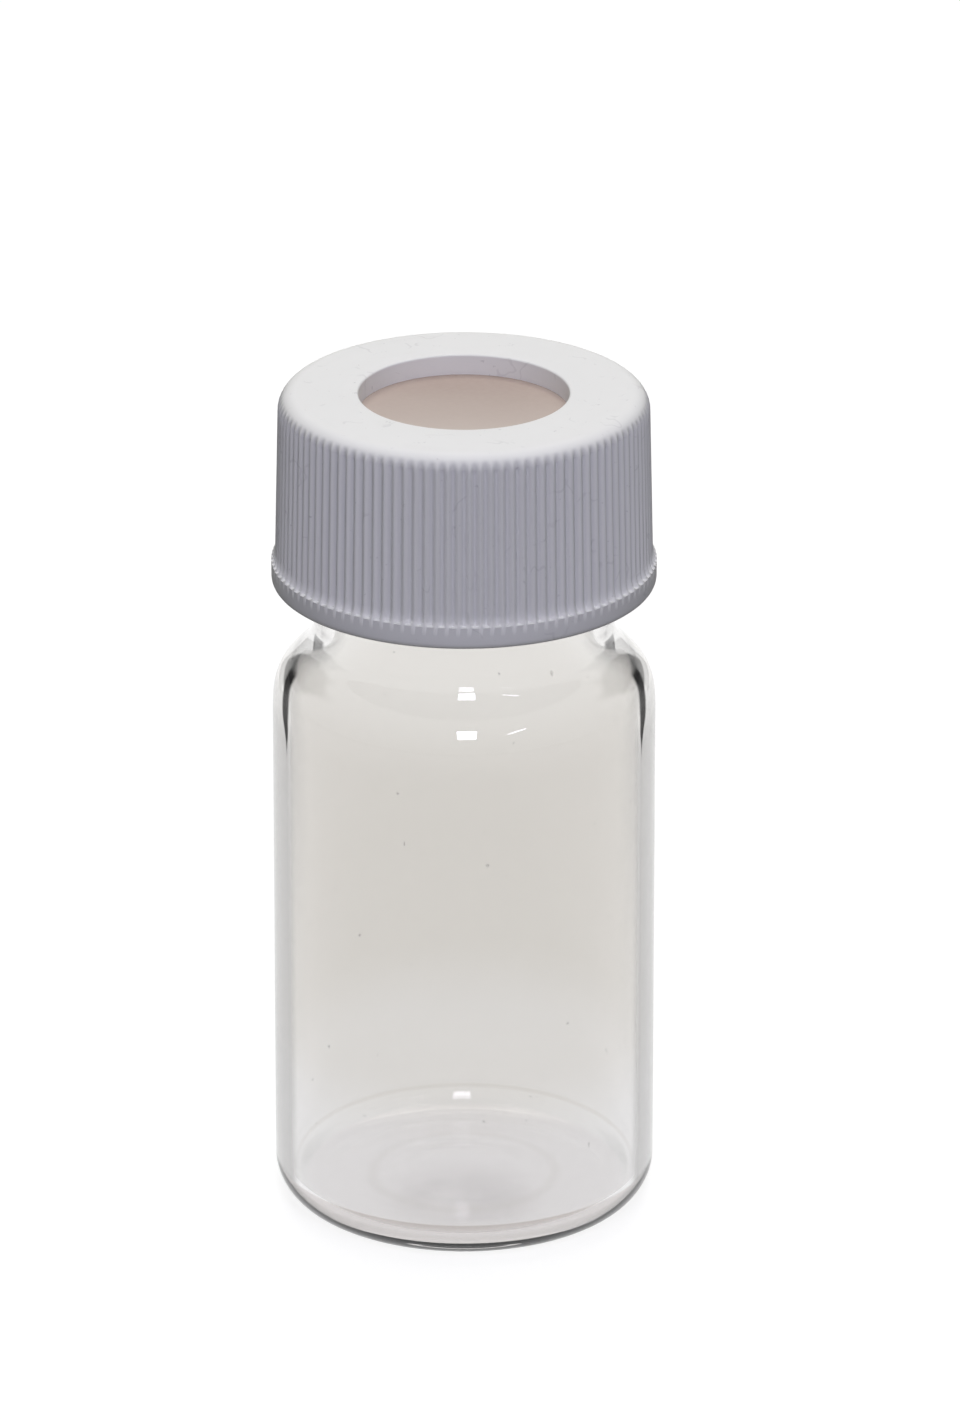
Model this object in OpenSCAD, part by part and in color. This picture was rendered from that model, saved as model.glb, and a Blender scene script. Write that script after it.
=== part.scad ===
// Glass sample vial: a straight-walled glass tube with a screw neck, an open-top
// screw cap and the soft disc that the cap presses onto the lip.
// Millimetres, +Z up, origin on the axis at the level the vial stands on.

/* [Glass body] */
// Height of the glass from the standing ring to the lip
vial_h = 57.3; // [50:0.1:80]
// Outside diameter of the straight wall
body_d = 27.5; // [26.5:0.1:30]
// Thickness of the straight wall
body_wall = 1.2; // [0.9:0.05:1.6]
// Outside radius of the heel, where wall turns into floor
heel_r = 3.2; // [2.4:0.1:4]
// Inside radius of the heel
heel_inner_r = 2; // [1.6:0.1:3]
// Thickness of the floor
floor_t = 1.3; // [1:0.05:2.2]
// Height of the push-up in the middle of the floor
punt_rise = 0.3; // [0.1:0.05:1.4]
// Diameter at which the push-up meets the standing ring
punt_d = 17.6; // [12:0.1:18]
// Width of the slope around the push-up
punt_slope_w = 4.4; // [1.2:0.1:5.5]

/* [Glass shoulder] */
// Outside radius of the round edge between wall and shoulder
shoulder_r = 3.1; // [2.4:0.1:4]
// Angle between the straight wall and the shoulder's cone
shoulder_tilt = 50; // [40:1:65]
// Outside radius of the hollow between shoulder and neck
neck_fillet_r = 2; // [1:0.1:2.4]
// Inside radius of the turn between shoulder and neck bore
bore_fillet_r = 2.5; // [1.5:0.1:3]

/* [Neck finish] */
// Height of the neck from its foot to the lip
neck_h = 13; // [12:0.1:16]
// How far the neck, between the turns of its thread, stands in from the straight wall
neck_inset = 3.05; // [2.4:0.05:5]
// Thickness of the neck's wall
neck_wall = 1.5; // [1.2:0.05:2]
// Rounding of both edges of the lip
lip_r = 0.5; // [0.3:0.05:0.7]
// Distance between one turn of the thread and the next
thread_pitch = 3.175; // [3:0.025:3.4]
// Height of the glass thread above the neck
thread_depth = 1.1; // [0.8:0.05:1.2]
// Turns of the glass thread
neck_thread_turns = 1.5; // [1:0.125:1.75]
// Width of the glass thread where it leaves the neck
neck_thread_foot_w = 1.7; // [1.4:0.05:1.9]
// Width of the glass thread at its crest
neck_thread_crest_w = 0.7; // [0.5:0.05:0.9]
// Depth of the top of the thread below the lip
thread_start_depth = 1.2; // [1:0.05:2]

/* [Soft disc] */
// Thickness of the disc
septum_t = 3.2; // [1.5:0.1:3.5]
// How far the disc reaches out past the side of the neck
septum_cover = 0.3; // [0.2:0.05:0.4]
// Gap between the disc's edge and its seat in the cap
septum_gap = 0.2; // [0.1:0.05:0.3]

/* [Cap] */
// Thickness of the cap's flat top
cap_top_t = 1.5; // [1:0.1:2.5]
// Diameter of the hole in the cap's top
aperture_d = 15; // [10:0.5:18]
// Thickness of the skirt under its ribs
skirt_wall = 1.13; // [1:0.01:1.6]
// Sideways gap between the cap and the glass, at crests and at roots
thread_gap = 0.25; // [0.2:0.05:0.4]
// Gap between the mouth of the skirt and the foot of the neck
skirt_gap = 3.4; // [2:0.1:4.5]
// Outside radius of the rounded top edge
cap_edge_r = 1.3; // [0.8:0.1:1.8]
// How much narrower the skirt is at its top, measured on the radius
skirt_draft = 0.24; // [0.1:0.02:0.4]
// Height of the smooth band at the mouth
band_h = 1.75; // [1:0.05:2.5]
// How far the smooth band stands out past the ribs
band_step = 0.28; // [0.1:0.02:0.5]
// Height of the slope from the ribs out to the band
band_slope_h = 0.65; // [0.4:0.05:1]
// Rounding of the band's lower edge
band_r = 0.5; // [0.3:0.05:0.7]
// Chamfer around the inside of the mouth
mouth_chamfer = 0.3; // [0.1:0.05:0.5]

/* [Cap ribs] */
// Number of ribs around the skirt
rib_count = 108; // [72:4:120]
// Depth of the grooves between ribs
rib_depth = 0.3; // [0.15:0.05:0.4]
// Width of a groove at its floor
groove_floor_w = 0.16; // [0.1:0.02:0.24]
// Width of a groove at the crest of the ribs
groove_mouth_w = 0.34; // [0.26:0.02:0.42]

/* [Cap thread] */
// Height of the thread's lower end above the mouth
cap_thread_lead = 2.4; // [1.5:0.1:3]
// Turns of the cap's thread
cap_thread_turns = 1.375; // [1:0.125:1.5]
// Width of the cap's thread where it leaves the skirt
cap_thread_foot_w = 1.6; // [1.3:0.05:1.7]
// Width of the cap's thread at its crest
cap_thread_crest_w = 0.6; // [0.4:0.05:0.8]
// Gap between the cap's thread and the underside of the glass thread
flank_gap = 0.25; // [0.2:0.05:0.4]

/* [Hidden] */
$fn = 128;

// Straight pieces that each rounded corner of an outline is drawn with
CORNER_STEPS = 8;
// Straight pieces in one turn of a thread
THREAD_STEPS = 48;
// Angle over which a thread runs out at each end
THREAD_RUNOUT = 40;
// How far a thread's foot is sunk into the wall that carries it
THREAD_SINK = 0.3;
// How far a groove's cutter stands clear of the ribs
CUT_SPARE = 1;

// Glass
body_r = body_d / 2;
body_inner_r = body_r - body_wall;
punt_r = punt_d / 2;
neck_r = body_r - neck_inset;
neck_bore_r = neck_r - neck_wall;
neck_crest_r = neck_r + thread_depth;
neck_foot_z = vial_h - neck_h;
shoulder_z = neck_foot_z - shoulder_rise(body_r, shoulder_r, neck_fillet_r, neck_r);

// Disc and cap, stacked on the lip
septum_r = neck_r + septum_cover;
seat_r = septum_r + septum_gap;
seat_z = vial_h - thread_start_depth / 2;
cap_under_z = vial_h + septum_t;
cap_top_z = cap_under_z + cap_top_t;
cap_edge_z = cap_top_z - cap_edge_r;
skirt_z = neck_foot_z + skirt_gap;
skirt_bore_r = neck_crest_r + thread_gap;
skirt_r = skirt_bore_r + skirt_wall + rib_depth;
skirt_top_r = skirt_r - skirt_draft;
band_outer_r = skirt_r + band_step;
band_top_z = skirt_z + band_h;
ribs_z = band_top_z + band_slope_h;
skirt_lean = atan(skirt_draft / (cap_edge_z - ribs_z));

// Threads: the glass one hangs from the lip, and the cap's follows just under it
neck_thread_z = vial_h - thread_start_depth - neck_thread_foot_w / 2 - neck_thread_turns * thread_pitch;
neck_flank_run = (neck_thread_foot_w - neck_thread_crest_w) / 2 / thread_depth;
thread_drop = neck_thread_foot_w / 2 - neck_flank_run * thread_gap + flank_gap + cap_thread_crest_w / 2;
cap_thread_z = skirt_z + cap_thread_lead;
cap_thread_from = 360 * (cap_thread_z - neck_thread_z + thread_drop) / thread_pitch;

// Points along an arc, from one angle to another
function arc(centre, radius, from, to) =
    [for (i = [0 : CORNER_STEPS])
        let (a = from + (to - from) * i / CORNER_STEPS)
        centre + radius * [cos(a), sin(a)]];

// The same points in the other order
function backwards(points) = [for (i = [len(points) - 1 : -1 : 0]) points[i]];

// Radius of the hollow turn, no larger than the step from wall to neck leaves room for
function hollow_r(wall_r, edge_r, turn_r, neck_wall_r) =
    min(turn_r, (wall_r - neck_wall_r) / (1 - cos(shoulder_tilt)) - edge_r);

// Height from the top of a straight wall to the foot of the neck above it
function shoulder_rise(wall_r, edge_r, turn_r, neck_wall_r) =
    let (
        turn = edge_r + hollow_r(wall_r, edge_r, turn_r, neck_wall_r),
        cone_w = wall_r - neck_wall_r - turn * (1 - cos(shoulder_tilt))
    )
    turn * sin(shoulder_tilt) + cone_w / tan(shoulder_tilt);

// Outline from a straight wall in to a neck: a round edge, a cone and a hollow turn
function shoulder(wall_r, edge_r, turn_r, neck_wall_r) =
    let (
        foot_z = shoulder_z + shoulder_rise(wall_r, edge_r, turn_r, neck_wall_r),
        hollow = hollow_r(wall_r, edge_r, turn_r, neck_wall_r)
    )
    concat(
        arc([wall_r - edge_r, shoulder_z], edge_r, 0, shoulder_tilt),
        arc([neck_wall_r + hollow, foot_z], hollow, 180 + shoulder_tilt, 180));

// Outline of the push-up in a floor at height z, from the axis outwards
function punt(z) = concat(
    [[0, z + punt_rise]],
    [for (i = [0 : CORNER_STEPS])
        let (out = i / CORNER_STEPS)
        [punt_r - punt_slope_w * (1 - out), z + punt_rise * (1 + cos(180 * out)) / 2]]);

// Helical ridge of trapezoid section that stands on a wall of radius foot_r and points
// towards crest_r, so it points inwards where crest_r is the smaller. Its lower end is at
// angle from and height z, and both ends run out into the wall.
module thread(foot_r, crest_r, foot_w, crest_w, z, turns, from) {
    side = crest_r > foot_r ? 1 : -1;
    buried_r = foot_r - side * THREAD_SINK;
    tip_r = foot_r - side * THREAD_SINK / 3;
    sweep = 360 * turns;
    steps = ceil(turns * THREAD_STEPS);
    // Four corners of the section at each step: two buried in the wall, two at the crest
    points = [for (i = [0 : steps])
        let (
            a = sweep * i / steps,
            full = min(1, a / THREAD_RUNOUT, (sweep - a) / THREAD_RUNOUT),
            r = tip_r + (crest_r - tip_r) * full,
            w = foot_w + (crest_w - foot_w) * full,
            mid_z = z + thread_pitch * a / 360
        )
        for (corner = [[buried_r, -foot_w], [buried_r, foot_w], [r, w], [r, -w]])
            [corner[0] * cos(from + a), corner[0] * sin(from + a), mid_z + corner[1] / 2]];
    // Two triangles for each side of each step, then the two ends
    sides = [for (i = [0 : steps - 1]) for (k = [0 : 3])
        let (
            a = 4 * i + k,
            b = 4 * i + (k + 1) % 4
        )
        for (face = [[a, a + 4, b], [b, a + 4, b + 4]]) face];
    last = 4 * steps;
    ends = [[0, 1, 3], [1, 2, 3], [last, last + 3, last + 1], [last + 1, last + 3, last + 2]];
    faces = concat(sides, ends);
    polyhedron(points, side > 0 ? faces : [for (face = faces) backwards(face)]);
}

// Outline of the glass on one side of the axis
function vial_outline() = concat(
    punt(0),
    arc([body_r - heel_r, heel_r], heel_r, -90, 0),
    shoulder(body_r, shoulder_r, neck_fillet_r, neck_r),
    arc([neck_r - lip_r, vial_h - lip_r], lip_r, 0, 90),
    arc([neck_bore_r + lip_r, vial_h - lip_r], lip_r, 90, 180),
    backwards(shoulder(body_inner_r, shoulder_r - body_wall, bore_fillet_r, neck_bore_r)),
    backwards(arc([body_inner_r - heel_inner_r, floor_t + heel_inner_r], heel_inner_r, -90, 0)),
    backwards(punt(floor_t)));

// Outline of the cap on one side of the axis, without ribs and thread
function cap_outline() = concat(
    [[aperture_d / 2, cap_under_z], [aperture_d / 2, cap_top_z]],
    backwards(arc([skirt_top_r - cap_edge_r, cap_edge_z], cap_edge_r, 0, 90)),
    [[skirt_r, ribs_z], [band_outer_r, band_top_z]],
    backwards(arc([band_outer_r - band_r, skirt_z + band_r], band_r, -90, 0)),
    [[skirt_bore_r + mouth_chamfer, skirt_z], [skirt_bore_r, skirt_z + mouth_chamfer]],
    [[skirt_bore_r, seat_z], [seat_r, seat_z], [seat_r, cap_under_z]]);

// Cutter for one groove: a flared bar that leans in with the skirt and leaves through
// the rounded top edge
module groove_cutter() {
    flare = (groove_mouth_w - groove_floor_w) / 2 / rib_depth;
    outer_w = groove_mouth_w + 2 * flare * CUT_SPARE;
    translate([skirt_r, 0, ribs_z])
        rotate([0, -skirt_lean, 0])
            linear_extrude(cap_top_z - ribs_z)
                polygon([
                    [-rib_depth, -groove_floor_w / 2], [CUT_SPARE, -outer_w / 2],
                    [CUT_SPARE, outer_w / 2], [-rib_depth, groove_floor_w / 2]]);
}

module vial() {
    color([0.87, 0.88, 0.86, 0.4])
        union() {
            rotate_extrude() polygon(vial_outline());
            thread(neck_r, neck_crest_r, neck_thread_foot_w, neck_thread_crest_w,
                neck_thread_z, neck_thread_turns, 0);
        }
}

module cap() {
    color([0.9, 0.9, 0.91])
        union() {
            difference() {
                rotate_extrude() polygon(cap_outline());
                for (i = [0 : rib_count - 1])
                    rotate(i * 360 / rib_count) groove_cutter();
            }
            thread(skirt_bore_r, neck_r + thread_gap, cap_thread_foot_w, cap_thread_crest_w,
                cap_thread_z, cap_thread_turns, cap_thread_from);
        }
}

module septum() {
    color([0.72, 0.66, 0.6])
        translate([0, 0, vial_h]) cylinder(h = septum_t, r = septum_r);
}

vial();
cap();
septum();
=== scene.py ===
import math

import bpy
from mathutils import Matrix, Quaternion, Vector


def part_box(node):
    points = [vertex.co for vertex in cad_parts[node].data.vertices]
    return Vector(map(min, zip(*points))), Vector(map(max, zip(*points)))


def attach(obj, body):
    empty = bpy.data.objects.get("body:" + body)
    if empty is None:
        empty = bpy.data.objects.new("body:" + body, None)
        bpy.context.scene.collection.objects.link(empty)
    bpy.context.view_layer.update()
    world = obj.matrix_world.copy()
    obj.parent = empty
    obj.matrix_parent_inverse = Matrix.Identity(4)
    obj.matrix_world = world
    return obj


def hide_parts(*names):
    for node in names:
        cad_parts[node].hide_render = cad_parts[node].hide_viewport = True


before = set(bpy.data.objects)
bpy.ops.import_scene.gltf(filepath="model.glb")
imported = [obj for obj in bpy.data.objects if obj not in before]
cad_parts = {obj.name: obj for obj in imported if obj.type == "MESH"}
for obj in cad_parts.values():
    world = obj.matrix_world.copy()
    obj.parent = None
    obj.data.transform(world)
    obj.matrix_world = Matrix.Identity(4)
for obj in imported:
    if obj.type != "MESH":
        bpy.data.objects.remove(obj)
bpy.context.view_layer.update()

# A clear glass sample vial with a white open-top screw cap over a cream sealing disc.
# Everything is in metres, with the axis of the vial on Z and its standing ring at Z = 0.

MM = 0.001
SAME_POINT = 0.001 * MM

# From the frame
VIAL_LOW, VIAL_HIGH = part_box("vial")
CAP_LOW, CAP_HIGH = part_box("cap")
DISC_LOW, DISC_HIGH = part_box("septum")
BODY_R = min(VIAL_HIGH.x, VIAL_HIGH.y, -VIAL_LOW.x, -VIAL_LOW.y)
LIP_Z = VIAL_HIGH.z
BAND_R = min(CAP_HIGH.x, CAP_HIGH.y, -CAP_LOW.x, -CAP_LOW.y)
CAP_TOP_Z = CAP_HIGH.z
MOUTH_Z = CAP_LOW.z
DISC_R = DISC_HIGH.x

# Glass
WALL = 1.2 * MM
HEEL_R = 3.2 * MM
HEEL_INNER_R = 2 * MM
FLOOR_T = 1.3 * MM
PUNT_RISE = 0.3 * MM
PUNT_R = 8.8 * MM
PUNT_SLOPE_W = 4.4 * MM
NECK_R = 10.7 * MM
NECK_BORE_R = 9.2 * MM
NECK_FOOT_Z = LIP_Z - 13 * MM
SHOULDER_Z = 39.36 * MM
SHOULDER_R = 3.1 * MM
SHOULDER_TILT = 50
NECK_FILLET_R = 2 * MM
BORE_FILLET_R = 2.5 * MM
LIP_R = 0.5 * MM
BODY_INNER_R = BODY_R - WALL
# The shoulder's outline is eased between these heights, in steps of this length
EASE_LOW_Z = 33 * MM
EASE_HIGH_Z = 48 * MM
EASE_STEP = 0.25 * MM
EASE_PASSES = 26
GLASS_COLUMNS = 256
WALL_ROW = 3 * MM
NECK_ROW = 0.13 * MM

# Screw threads
PITCH = 3.175 * MM
NECK_THREAD_DEPTH = 1.1 * MM
NECK_THREAD_TURNS = 1.5
NECK_THREAD_HALF_W = 0.85 * MM
NECK_RIDGE_HALF_W = 1.15 * NECK_THREAD_HALF_W
NECK_THREAD_Z = LIP_Z - 1.2 * MM - NECK_THREAD_HALF_W - NECK_THREAD_TURNS * PITCH
CAP_THREAD_DROP = 1.286 * MM
CAP_THREAD_TURNS = 1.375
CAP_THREAD_HALF_W = 0.8 * MM
CAP_THREAD_BURIED = 0.4 * MM
THREAD_GAP = 0.25 * MM
CAP_THREAD_Z = MOUTH_Z + 2.4 * MM
CAP_THREAD_FROM = 360 * (CAP_THREAD_Z - NECK_THREAD_Z + CAP_THREAD_DROP) / PITCH
THREAD_RUNOUT = 40
# The cap's thread is wound on a band this far proud of the bore's wall, a little wider than its ridge
CAP_THREAD_PROUD = 0.03 * MM
CAP_THREAD_BAND_HALF_W = 1.05 * CAP_THREAD_HALF_W
TURN_STEPS = 96

# Cap
APERTURE_R = 7.5 * MM
TOP_T = 1.5 * MM
EDGE_R = 1.3 * MM
# The skirt's hollow foot on the band: how far out from the skirt, and how far up from the band's top
SKIRT_FOOT = [
    (0, 0.8 * MM), (0.03 * MM, 0.55 * MM), (0.1 * MM, 0.3 * MM),
    (0.18 * MM, 0.1 * MM), (0.28 * MM, -0.05 * MM)]
SKIRT_R = BAND_R - SKIRT_FOOT[-1][0]
SKIRT_TOP_R = SKIRT_R - 0.24 * MM
SKIRT_BORE_R = 12.05 * MM
SEAT_R = DISC_R + 0.2 * MM
SEAT_Z = LIP_Z - 0.6 * MM
BAND_TOP_Z = MOUTH_Z + 1.75 * MM
RIBS_Z = BAND_TOP_Z + 0.65 * MM
EDGE_Z = CAP_TOP_Z - EDGE_R
# The top is shaded flat between these two rings
TOP_FLAT_FROM_R = APERTURE_R + 1.5 * MM
TOP_FLAT_TO_R = SKIRT_TOP_R - EDGE_R - MM
HOLE_EDGE_R = 0.15 * MM
MOUTH_EDGE_R = 0.5 * MM
MOUTH_CHAMFER = 0.3 * MM
RIB_COUNT = 108
RIB_COLUMNS = 8
RIB_DEPTH = 0.3 * MM
# The grooves begin this far below the cap's top, and fade over these heights at top and bottom
RIB_TOP_DROP = 0.4 * MM
RIB_TOP_FADE = 0.7 * MM
RIB_LOW_FADE = 0.1 * MM

# Disc
DISC_EDGE_R = 0.3 * MM


# ---------------------------------------------------------------- shader nodes


class Link:
    """An output of a finish's node, on which Python arithmetic adds Math nodes."""

    def __init__(self, finish, socket):
        self.finish, self.socket = finish, socket

    def maths(self, operation, *others):
        return self.finish.maths(operation, self, *others)

    def __add__(self, other):
        return self.maths("ADD", other)

    def __sub__(self, other):
        return self.maths("SUBTRACT", other)

    def __mul__(self, other):
        return self.maths("MULTIPLY", other)

    def __pow__(self, other):
        return self.maths("POWER", other)

    def __rsub__(self, other):
        return self.finish.maths("SUBTRACT", other, self)

    def __abs__(self):
        return self.maths("ABSOLUTE")

    __radd__ = __add__
    __rmul__ = __mul__

    def over(self, limit):
        return self.maths("GREATER_THAN", limit)

    def under(self, limit):
        return self.maths("LESS_THAN", limit)

    def between(self, low, high):
        """0 below low, 1 above high and a smooth rise from one to the other."""
        settings = {"interpolation_type": "SMOOTHSTEP"}
        sockets = {"Value": self, "From Min": low, "From Max": high}
        return self.finish.add("ShaderNodeMapRange", settings, sockets)


class Finish:
    """A material or world whose nodes are added one at a time."""

    def __init__(self, tree):
        self.tree = tree
        tree.nodes.clear()

    def add(self, kind, settings=None, sockets=None, out=0):
        """Adds a node, sets it up, fills or links its sockets and gives one of its outputs."""
        node = self.tree.nodes.new(kind)
        for name, value in (settings or {}).items():
            setattr(node, name, value)
        for name, value in (sockets or {}).items():
            if isinstance(value, Link):
                self.tree.links.new(value.socket, node.inputs[name])
            else:
                node.inputs[name].default_value = value
        return Link(self, node.outputs[out]) if len(node.outputs) else node

    def maths(self, operation, *values):
        return self.add("ShaderNodeMath", {"operation": operation}, dict(enumerate(values)))

    def place(self):
        """Object coordinates, in metres."""
        return self.add("ShaderNodeTexCoord", out="Object")

    def parts(self, vector):
        """The X, Y and Z of a vector."""
        return [self.add("ShaderNodeSeparateXYZ", {}, {0: vector}, out=axis) for axis in "XYZ"]

    def spot(self):
        """X, Y, Z and the distance from the vial's axis, in millimetres."""
        x, y, z = (part * 1000 for part in self.parts(self.place()))
        return x, y, z, (x * x + y * y) ** 0.5

    def noise(self, scale, detail=2, roughness=0.5):
        sockets = {"Vector": self.place(), "Scale": scale, "Detail": detail, "Roughness": roughness}
        return self.add("ShaderNodeTexNoise", {}, sockets, out="Fac")

    def blend(self, amount, first, second):
        """A colour between first and second."""
        sockets = {0: amount, 6: first, 7: second}
        return self.add("ShaderNodeMix", {"data_type": "RGBA"}, sockets, out=2)

    def bump(self, height, strength, distance):
        sockets = {"Height": height, "Strength": strength, "Distance": distance}
        return self.add("ShaderNodeBump", {}, sockets)


def material(name, build):
    """A new material whose surface is the shader that build makes."""
    new = bpy.data.materials.new(name)
    new.use_nodes = True
    finish = Finish(new.node_tree)
    surface = build(finish)
    finish.add("ShaderNodeOutputMaterial", {}, {"Surface": surface})
    return new


def clear_glass(finish):
    """Tube glass: clear and faintly grey, with painted shade (dark edge lines, a shaded heel, a floor ring
    and a faint circle), painted light on the neck and base, darker cloudy patches and a few specks.

    Lengths are in millimetres. Facing is 0 where the glass is met square on and 1 where it is only grazed.
    """
    x, y, z, r = finish.spot()
    front = 1 - finish.add("ShaderNodeNewGeometry", out="Backfacing")
    facing = finish.add("ShaderNodeLayerWeight", {}, {"Blend": 0.5}, out="Facing")
    cloud = finish.noise(190, detail=3)

    # Painted shade: a dark line inside the edge, widest on the shoulder and fine below it
    line_w = 0.002 + 0.011 * z.between(36.6, 40.2)
    line_place = facing + 0.06 * z.between(38.6, 40.8) - 0.655
    outside = (r + 0.9 * z.between(39.5, 42)).over(13.1) * front
    line = outside * (1 - abs(line_place).between(line_w * 2, line_w * 4.4))
    line = line * (0.05 + 0.83 * z.between(35.8, 37.8)) * (1 - z.between(41.6, 42))

    # Painted shade: grey edges of the outer wall and of the hollow inside
    edge = r.over(13.4) * front * facing.between(0.56, 0.65) * (1 - 0.6 * z.between(37, 41))
    hollow = (1 - front) * r.under(12.9) * z.over(4)
    shade = hollow * (0.3 + 0.7 * z.between(20, 37)) * facing.between(0.2, 0.262)

    # The base: painted shade on its heel, painted light on its floor with darker cloudy patches to one
    # side, and painted shade in a faint circle and in the ring round it
    heel = r.over(12.6) * z.under(3.2) * front
    floor = r.under(11.6) * z.between(0.9, 1.1) * z.under(4)
    aside = (x * x + (y + 4.5) * (y + 4.5)) ** 0.5
    cloudy_patch = floor * (1 - (aside + 5 * cloud).between(5.5, 9.5)) * (0.5 + 0.5 * cloud.between(0.35, 0.6))
    circle = floor * (1 - abs(r - 7.1 + 0.8 * cloud).between(0.1, 0.7))
    ring = r.under(12.9) * (1 - abs(z - 2.75).between(0.05, 0.25))
    speck = finish.noise(1500, detail=2).between(0.76, 0.79)

    # Painted light: the faint grey tint is made lighter below 8 mm and lighter still on the neck than
    # through the body
    tint = finish.blend(z.between(8, 15), (0.845, 0.84, 0.84, 1), (0.778, 0.762, 0.74, 1))
    for amount, colour in (
            (z.between(37, 44), (0.91, 0.905, 0.895, 1)),
            (edge, (0.27, 0.265, 0.26, 1)),
            (floor, (0.86, 0.835, 0.84, 1)),
            (shade, (0.42, 0.41, 0.405, 1)),
            (heel * 0.9, (0.52, 0.475, 0.455, 1)),
            (cloudy_patch, (0.64, 0.61, 0.62, 1)),
            (circle * 0.3, (0.6, 0.57, 0.54, 1)),
            (ring * 0.4, (0.6, 0.55, 0.5, 1)),
            (speck * 0.6, (0.25, 0.24, 0.24, 1))):
        tint = finish.blend(amount, tint, colour)
    glass = finish.add("ShaderNodeBsdfPrincipled", {}, {
        "Base Color": tint, "Roughness": 0.0, "IOR": 1.49, "Transmission Weight": 1,
        "Normal": finish.bump(finish.noise(90, detail=1), 0.05, 0.2 * MM)})
    # Painted shade: the dark line is this near-black matte surface, mixed over the glass
    dark = finish.add("ShaderNodeBsdfDiffuse", {}, {"Color": (0.02, 0.018, 0.018, 1)})
    return finish.add("ShaderNodeMixShader", {}, {0: line, 1: glass, 2: dark})


def white_plastic(finish):
    """Moulded polypropylene: off-white and matte, with painted shade darkening its grooves, and with grain,
    flecks and scratches.
    """
    _, _, z, r = finish.spot()
    lean = (SKIRT_R - SKIRT_TOP_R) / (EDGE_Z - RIBS_Z)
    sunk = (SKIRT_R + lean * RIBS_Z) / MM - lean * z - r
    # Painted shade: the colour is darker down in the skirt's grooves
    groove = sunk.between(0.08, 0.28) * r.over(12.9) * z.under(61)
    cloud = finish.noise(260, detail=3)
    grain = finish.noise(9000, detail=3)
    fleck = finish.noise(1700, detail=4, roughness=0.7).between(0.66, 0.7)
    hair = 1 - abs(finish.noise(170, detail=3) - 0.5).between(0.003, 0.009)
    hair = hair * finish.noise(420, detail=1).between(0.55, 0.62)
    mark = (fleck * 0.3).maths("MAXIMUM", hair * 0.15)

    colour = finish.blend(cloud, (0.8, 0.8, 0.795, 1), (0.83, 0.83, 0.825, 1))
    colour = finish.blend(groove, colour, (0.73, 0.73, 0.74, 1))
    colour = finish.blend(mark, colour, (0.35, 0.34, 0.36, 1))
    return finish.add("ShaderNodeBsdfPrincipled", {}, {
        "Base Color": colour, "Roughness": 0.65 + 0.12 * cloud, "Specular IOR Level": 0.12,
        "Normal": finish.bump(grain, 0.12, 0.02 * MM)})


def cream_silicone(finish):
    """Cream silicone rubber: soft and matte and finely mottled, with painted shade making it darker and
    browner towards one side.
    """
    _, y, _, _ = finish.spot()
    mottle = finish.noise(2600, detail=4)
    # Painted shade: darker and browner towards the back, along +Y
    back_shade = (y + 3 * finish.noise(150)).between(-9, 12)
    colour = finish.blend(back_shade, (0.52, 0.452, 0.41, 1), (0.34, 0.255, 0.222, 1))
    colour = finish.blend(0.2 * mottle, colour, (0.62, 0.56, 0.5, 1))
    return finish.add("ShaderNodeBsdfPrincipled", {}, {
        "Base Color": colour, "Roughness": 0.55 + 0.1 * mottle,
        "Normal": finish.bump(mottle, 0.15, 0.03 * MM)})


# ---------------------------------------------------------------- modelling


def arc(r, z, radius, start, end, steps=12):
    """Points (radius, height) along an arc round (r, z)."""
    turns = [math.radians(start + (end - start) * i / steps) for i in range(steps + 1)]
    return [(r + radius * math.cos(t), z + radius * math.sin(t)) for t in turns]


def shoulder(wall_r, edge_r, turn_r, neck_r):
    """Outline from the straight wall in to the neck: a round edge, a cone and a hollow turn."""
    tilt = math.radians(SHOULDER_TILT)
    turn = edge_r + turn_r
    cone_w = wall_r - neck_r - turn * (1 - math.cos(tilt))
    foot_z = SHOULDER_Z + turn * math.sin(tilt) + cone_w / math.tan(tilt)
    return (arc(wall_r - edge_r, SHOULDER_Z, edge_r, 0, SHOULDER_TILT)
            + arc(neck_r + turn_r, foot_z, turn_r, 180 + SHOULDER_TILT, 180))


def punt(z, steps=16):
    """Outline of the push-up, from the axis outwards."""
    parts = [i / steps for i in range(steps + 1)]
    slope = [(PUNT_R - PUNT_SLOPE_W * (1 - part), z + PUNT_RISE * (1 + math.cos(math.pi * part)) / 2)
             for part in parts]
    return [(0, z + PUNT_RISE)] + slope


def rows(r, low, high, step):
    """Points up a straight wall, evenly spaced."""
    count = math.ceil((high - low) / step)
    return [(r, low + (high - low) * i / count) for i in range(1, count)]


def eased(outline, step, passes):
    """An outline with its corners and changes of curve softened, as in blown glass. The ends stay."""
    lengths = [0]
    for (r, z), (next_r, next_z) in zip(outline, outline[1:]):
        lengths.append(lengths[-1] + math.hypot(next_r - r, next_z - z))
    count = round(lengths[-1] / step)
    points, i = [], 0
    for k in range(count + 1):
        along = lengths[-1] * k / count
        while i < len(outline) - 2 and lengths[i + 1] < along:
            i += 1
        part = (along - lengths[i]) / (lengths[i + 1] - lengths[i])
        points.append(tuple(a + (b - a) * part for a, b in zip(outline[i], outline[i + 1])))
    for _ in range(passes):
        points = (points[:1]
                  + [tuple((a + 2 * b + c) / 4 for a, b, c in zip(*three))
                     for three in zip(points, points[1:], points[2:])]
                  + points[-1:])
    return points


def start_fresh():
    """Leaves edit mode and selects nothing."""
    if bpy.context.object and bpy.context.object.mode != "OBJECT":
        bpy.ops.object.mode_set(mode="OBJECT")
    bpy.ops.object.select_all(action="DESELECT")


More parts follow.
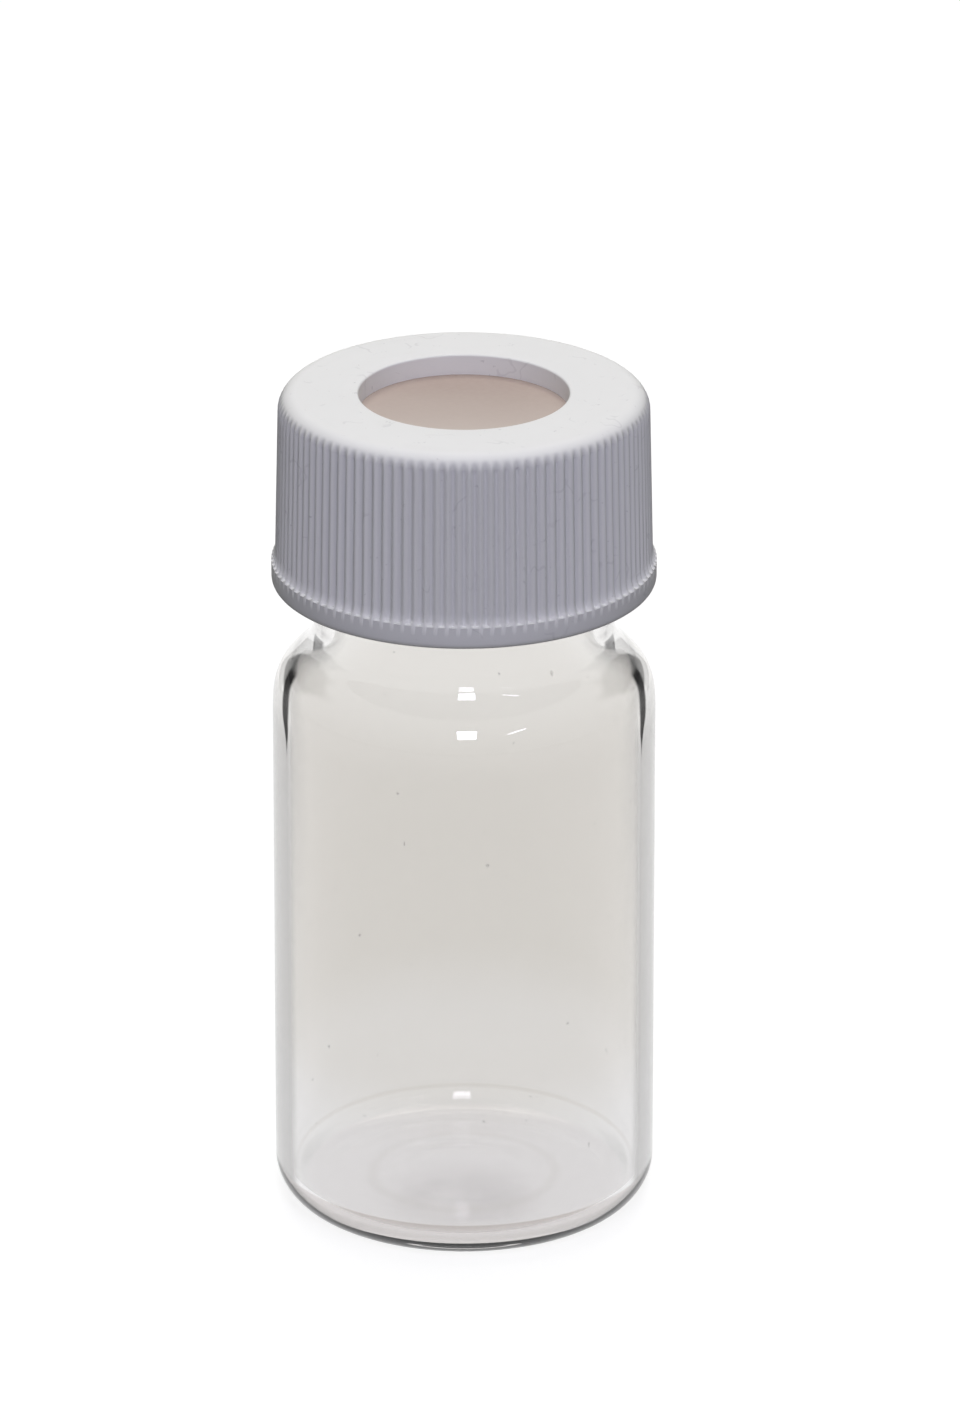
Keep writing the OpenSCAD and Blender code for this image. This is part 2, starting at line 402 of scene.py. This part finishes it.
def drawn(name, outline, azimuth=0):
    """A line drawn point by point in the upright plane at an azimuth. It is left in edit mode."""
    start_fresh()
    bpy.ops.mesh.primitive_plane_add(size=MM)
    piece = bpy.context.object
    piece.name = piece.data.name = name
    bpy.ops.object.mode_set(mode="EDIT")
    bpy.ops.mesh.merge(type="CENTER")
    a = math.radians(azimuth)
    points = [Vector((r * math.cos(a), r * math.sin(a), z)) for r, z in outline]
    bpy.ops.transform.translate(value=points[0])
    for point, next_point in zip(points, points[1:]):
        bpy.ops.mesh.extrude_region_move(TRANSFORM_OT_translate={"value": next_point - point})
    return piece


def turned(name, outline, columns):
    """A piece turned about Z from its closed outline."""
    piece = drawn(name, outline)
    bpy.ops.mesh.select_all(action="SELECT")
    bpy.ops.mesh.spin(steps=columns, angle=math.tau, center=(0, 0, 0), axis=(0, 0, 1))
    bpy.ops.mesh.select_all(action="SELECT")
    bpy.ops.mesh.remove_doubles(threshold=SAME_POINT)
    bpy.ops.mesh.normals_make_consistent(inside=False)
    bpy.ops.object.mode_set(mode="OBJECT")
    return piece


def raised(piece, name, height, weight_at):
    """Raises or sinks a piece's surface along its normals, by height times weight_at(vertex)."""
    group = piece.vertex_groups.new(name=name)
    for vertex in piece.data.vertices:
        weight = weight_at(vertex.co)
        if weight > 0:
            group.add([vertex.index], min(weight, 1), "REPLACE")
    relief = piece.modifiers.new(name, "DISPLACE")
    relief.vertex_group = group.name
    relief.mid_level = 0
    relief.strength = height
    apply_modifiers(piece)
    piece.vertex_groups.clear()


def apply_modifiers(piece):
    """Makes a piece's modifiers part of its mesh."""
    start_fresh()
    piece.select_set(True)
    bpy.context.view_layer.objects.active = piece
    for modifier in list(piece.modifiers):
        bpy.ops.object.modifier_apply(modifier=modifier.name)


def smoothed(piece, angle):
    """Shades a piece smooth but for the edges that turn by more than an angle in degrees."""
    start_fresh()
    piece.select_set(True)
    bpy.context.view_layer.objects.active = piece
    bpy.ops.object.shade_smooth_by_angle(angle=math.radians(angle))


def finished(piece, finish, body, node):
    """Gives a piece its finish and its body, and hides the node that it stands for."""
    piece.data.materials.clear()
    piece.data.materials.append(finish)
    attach(piece, body)
    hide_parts(node)


def ridge_weight(point, low_z, turns, half_w, start=0):
    """How far a point lies up a rounded thread ridge, from 0 beside it to 1 on its crest."""
    angle = (math.degrees(math.atan2(point.y, point.x)) - start) % 360
    best = 0
    for turn in range(math.ceil(turns)):
        along = angle + 360 * turn
        if along > 360 * turns:
            continue
        away = abs(point.z - low_z - PITCH * along / 360) / half_w
        runout = min(1, along / THREAD_RUNOUT, (360 * turns - along) / THREAD_RUNOUT)
        if away < 1:
            best = max(best, runout * (1 - away ** 3) ** 1.5)
    return best


def make_vial():
    """The glass, turned as one wall from inside to outside, with the thread raised on its neck."""
    def eased_shoulder(wall_r, edge_r, turn_r, neck_r):
        curve = shoulder(wall_r, edge_r, turn_r, neck_r)
        return eased([(wall_r, EASE_LOW_Z)] + curve + [(neck_r, EASE_HIGH_Z)], EASE_STEP, EASE_PASSES)

    outline = (
        punt(0)
        + arc(BODY_R - HEEL_R, HEEL_R, HEEL_R, -90, 0)
        + rows(BODY_R, HEEL_R, EASE_LOW_Z, WALL_ROW)
        + eased_shoulder(BODY_R, SHOULDER_R, NECK_FILLET_R, NECK_R)
        + rows(NECK_R, EASE_HIGH_Z, LIP_Z - LIP_R, NECK_ROW)
        + arc(NECK_R - LIP_R, LIP_Z - LIP_R, LIP_R, 0, 90)
        + arc(NECK_BORE_R + LIP_R, LIP_Z - LIP_R, LIP_R, 90, 180)
        + eased_shoulder(BODY_INNER_R, SHOULDER_R - WALL, BORE_FILLET_R, NECK_BORE_R)[::-1]
        + rows(BODY_INNER_R, FLOOR_T + HEEL_INNER_R, EASE_LOW_Z, WALL_ROW)[::-1]
        + arc(BODY_INNER_R - HEEL_INNER_R, FLOOR_T + HEEL_INNER_R, HEEL_INNER_R, 0, -90)
        + punt(FLOOR_T)[::-1]
    )
    vial = turned("glass_vial", outline, GLASS_COLUMNS)

    def thread_weight(point):
        if math.hypot(point.x, point.y) < NECK_R - LIP_R / 2 or point.z < NECK_FOOT_Z:
            return 0
        return ridge_weight(point, NECK_THREAD_Z, NECK_THREAD_TURNS, NECK_RIDGE_HALF_W)

    raised(vial, "thread", NECK_THREAD_DEPTH, thread_weight)
    smoothed(vial, 40)
    finished(vial, material("clear_glass", clear_glass), "vial", "vial")
    return vial


def make_cap_thread():
    """The thread inside the cap: a band wound up the bore's wall, with the ridge raised from it."""
    face_r, back_r = SKIRT_BORE_R + CAP_THREAD_PROUD, SKIRT_BORE_R + CAP_THREAD_BURIED
    face = [(face_r, CAP_THREAD_Z + CAP_THREAD_BAND_HALF_W * i / 8) for i in range(-8, 9)]
    outline = face + [(back_r, face[-1][1]), (back_r, face[0][1]), face[0]]
    thread = drawn("cap_thread", outline, CAP_THREAD_FROM)
    bpy.ops.mesh.select_all(action="SELECT")
    bpy.ops.mesh.remove_doubles(threshold=SAME_POINT)
    bpy.ops.object.mode_set(mode="OBJECT")
    winding = thread.modifiers.new("winding", "SCREW")
    winding.angle = math.tau * CAP_THREAD_TURNS
    winding.screw_offset = PITCH * CAP_THREAD_TURNS
    winding.steps = winding.render_steps = round(CAP_THREAD_TURNS * TURN_STEPS)
    apply_modifiers(thread)
    bpy.ops.object.mode_set(mode="EDIT")
    bpy.ops.mesh.select_all(action="SELECT")
    bpy.ops.mesh.fill_holes(sides=0)
    bpy.ops.mesh.select_all(action="SELECT")
    bpy.ops.mesh.normals_make_consistent(inside=False)
    bpy.ops.object.mode_set(mode="OBJECT")

    def thread_weight(point):
        if math.hypot(point.x, point.y) > (face_r + back_r) / 2:
            return 0
        return ridge_weight(point, CAP_THREAD_Z, CAP_THREAD_TURNS, CAP_THREAD_HALF_W, CAP_THREAD_FROM)

    raised(thread, "thread", face_r - NECK_R - THREAD_GAP, thread_weight)
    return thread


def make_cap():
    """The cap, turned as one shell, with the grooves sunk into its skirt and the thread joined on."""
    outline = (
        [(APERTURE_R, CAP_TOP_Z - TOP_T)]
        + arc(APERTURE_R + HOLE_EDGE_R, CAP_TOP_Z - HOLE_EDGE_R, HOLE_EDGE_R, 180, 90, 4)
        + [(TOP_FLAT_FROM_R, CAP_TOP_Z), (TOP_FLAT_TO_R, CAP_TOP_Z)]
        + arc(SKIRT_TOP_R - EDGE_R, EDGE_Z, EDGE_R, 90, 0)
        + [(SKIRT_R + out, BAND_TOP_Z + up) for out, up in SKIRT_FOOT]
        + [(BAND_R, MOUTH_Z + MM)]
        + arc(BAND_R - MOUTH_EDGE_R, MOUTH_Z + MOUTH_EDGE_R, MOUTH_EDGE_R, 0, -90, 6)
        + [(SKIRT_BORE_R + MOUTH_CHAMFER, MOUTH_Z), (SKIRT_BORE_R, MOUTH_Z + MOUTH_CHAMFER)]
        + [(SKIRT_BORE_R, SEAT_Z), (SEAT_R, SEAT_Z), (SEAT_R, CAP_TOP_Z - TOP_T)]
        + [(APERTURE_R, CAP_TOP_Z - TOP_T)]
    )
    cap = turned("screw_cap", outline, RIB_COUNT * RIB_COLUMNS)
    rib_angle = 360 / RIB_COUNT

    def groove_weight(point):
        """How deep a point of the skirt's outside lies in its groove, as a soft wave round the cap."""
        if math.hypot(point.x, point.y) < SKIRT_TOP_R - EDGE_R / 2 or point.z < BAND_TOP_Z:
            return 0
        part = math.degrees(math.atan2(point.y, point.x)) / rib_angle
        away = abs(part - round(part))
        depth = 0.5 + 0.5 * math.cos(math.tau * away)
        low = min(1, max(0, (point.z - BAND_TOP_Z) / RIB_LOW_FADE))
        high = min(1, max(0, (CAP_TOP_Z - RIB_TOP_DROP - point.z) / RIB_TOP_FADE))
        return depth * low * high

    raised(cap, "ribs", -RIB_DEPTH, groove_weight)
    thread = make_cap_thread()
    start_fresh()
    thread.select_set(True)
    cap.select_set(True)
    bpy.context.view_layer.objects.active = cap
    bpy.ops.object.join()
    smoothed(cap, 50)
    finished(cap, material("white_plastic", white_plastic), "screw_cap", "cap")
    return cap


def make_disc():
    """The sealing disc, flat on both sides with a rounded rim."""
    edge_r = DISC_R - DISC_EDGE_R
    outline = (
        [(0, DISC_LOW.z), (DISC_R / 2, DISC_LOW.z)]
        + arc(edge_r, DISC_LOW.z + DISC_EDGE_R, DISC_EDGE_R, -90, 0, 5)
        + arc(edge_r, DISC_HIGH.z - DISC_EDGE_R, DISC_EDGE_R, 0, 90, 5)
        + [(DISC_R / 2, DISC_HIGH.z), (0, DISC_HIGH.z)]
    )
    disc = turned("sealing_disc", outline, TURN_STEPS)
    smoothed(disc, 40)
    finished(disc, material("cream_silicone", cream_silicone), "disc", "septum")
    return disc


# ---------------------------------------------------------------- studio


def seen_directly(finish):
    """1 for what the camera sees, straight or by way of glass and gloss."""
    rays = [finish.add("ShaderNodeLightPath", out=name)
            for name in ("Is Camera Ray", "Is Glossy Ray", "Is Transmission Ray")]
    return (rays[0] + rays[1] + rays[2]).maths("MINIMUM", 1)


def side_gaps(finish, place):
    """1 towards the two dark gaps on either side of the backdrop behind the vial."""
    direction = finish.add("ShaderNodeVectorMath", {"operation": "NORMALIZE"}, {0: place})
    x, y, z = finish.parts(direction)
    outwards = abs(x) - 0.16 * z.between(0.1, 0.2)
    across = abs(x).between(0.34, 0.38) * (1 - outwards.between(0.6, 0.68))
    return across * (1 - z.between(0.5, 0.57)) * y.over(0)


MIDDLE = Vector((0, 0, CAP_TOP_Z / 2))
LAMP_DISTANCE = 0.6
FLOOR_SIZE = 6
FLOOR_DROP = 0.05 * MM
FLOOR_PALE = 0.25
FLOOR_GLOW = 0.86
GAP_PALE = 0.15
WARM = (1, 0.995, 0.935)
COOL = (0.935, 0.925, 1.09)


def studio_floor(finish):
    """A matte floor that reads as white while it still holds shadows."""
    matte = finish.add("ShaderNodeBsdfDiffuse", {}, {"Color": (FLOOR_PALE, FLOOR_PALE, FLOOR_PALE, 1)})
    camera = finish.add("ShaderNodeLightPath", out="Is Camera Ray")
    away = finish.add("ShaderNodeVectorMath", {"operation": "LENGTH"}, {0: finish.place()}, out="Value")
    gaps = (1 - camera) * away.between(0.2, 0.28) * side_gaps(finish, finish.place())
    bright = seen_directly(finish) * (1 - (1 - GAP_PALE) * gaps) * FLOOR_GLOW
    glow = finish.add("ShaderNodeEmission", {}, {"Strength": bright})
    lit = finish.add("ShaderNodeAddShader", {}, {0: matte, 1: glow})
    clear = finish.add("ShaderNodeBsdfTransparent")
    below = finish.add("ShaderNodeNewGeometry", out="Backfacing")
    return finish.add("ShaderNodeMixShader", {}, {0: below, 1: lit, 2: clear})


def make_floor():
    start_fresh()
    bpy.ops.mesh.primitive_plane_add(size=FLOOR_SIZE, location=(0, 0, -FLOOR_DROP))
    floor = bpy.context.object
    floor.name = "studio_floor"
    floor.data.materials.append(material("studio_floor", studio_floor))


def make_world():
    """White all round but for the two gaps behind the vial, and a very weak cool light from every side."""
    world = bpy.data.worlds.new("studio")
    bpy.context.scene.world = world
    world.use_nodes = True
    finish = Finish(world.node_tree)
    direction = finish.add("ShaderNodeTexCoord", out="Generated")
    camera = finish.add("ShaderNodeLightPath", out="Is Camera Ray")
    gaps = (1 - camera) * side_gaps(finish, direction)
    backdrop = finish.blend(gaps, (1, 1, 1, 1), (GAP_PALE, GAP_PALE, GAP_PALE, 1))
    colour = finish.blend(seen_directly(finish), (0.01, 0.01, 0.015, 1), backdrop)
    surface = finish.add("ShaderNodeBackground", {}, {"Color": colour, "Strength": 1})
    finish.add("ShaderNodeOutputWorld", {}, {"Surface": surface})


def lamp(name, azimuth, elevation, size, power, colour, turn=0):
    """A soft box that faces the vial. Azimuth 0 is in front, and positive is to the right."""
    a, e = math.radians(azimuth), math.radians(elevation)
    away = Vector((math.sin(a) * math.cos(e), -math.cos(a) * math.cos(e), math.sin(e)))
    start_fresh()
    bpy.ops.object.light_add(type="AREA", location=MIDDLE + away * LAMP_DISTANCE)
    light = bpy.context.object
    light.name = name
    light.rotation_mode = "QUATERNION"
    light.rotation_quaternion = away.to_track_quat("Z", "Y") @ Quaternion((0, 0, 1), math.radians(turn))
    light.data.shape = "RECTANGLE"
    light.data.size, light.data.size_y = size
    light.data.energy = power
    light.data.color = colour


def make_lights():
    lamp("top_softbox", 180, 78, (0.5, 0.5), 2.85, WARM)
    lamp("front_softbox", 2, 42, (0.105, 0.18), 1.3, COOL)
    lamp("side_strip", 38, 42, (0.13, 0.012), 0.09, COOL, turn=25)


def make_camera():
    """A long lens that looks down on the vial from in front."""
    aim = Vector((1.14 * MM, 0, 37.6 * MM))
    rise = math.radians(22.75)
    distance = 0.8
    start_fresh()
    bpy.ops.object.camera_add(location=(0, -distance * math.cos(rise), 30 * MM + distance * math.sin(rise)))
    camera = bpy.context.object
    camera.rotation_mode = "QUATERNION"
    camera.rotation_quaternion = (aim - camera.location).to_track_quat("-Z", "Y")
    camera.data.lens = 281.6
    camera.data.sensor_width = 36
    camera.data.clip_start, camera.data.clip_end = 0.05, 20
    bpy.context.scene.camera = camera


make_camera()
make_vial()
make_cap()
make_disc()
make_floor()
make_world()
make_lights()
bpy.context.scene.view_settings.view_transform = "Standard"
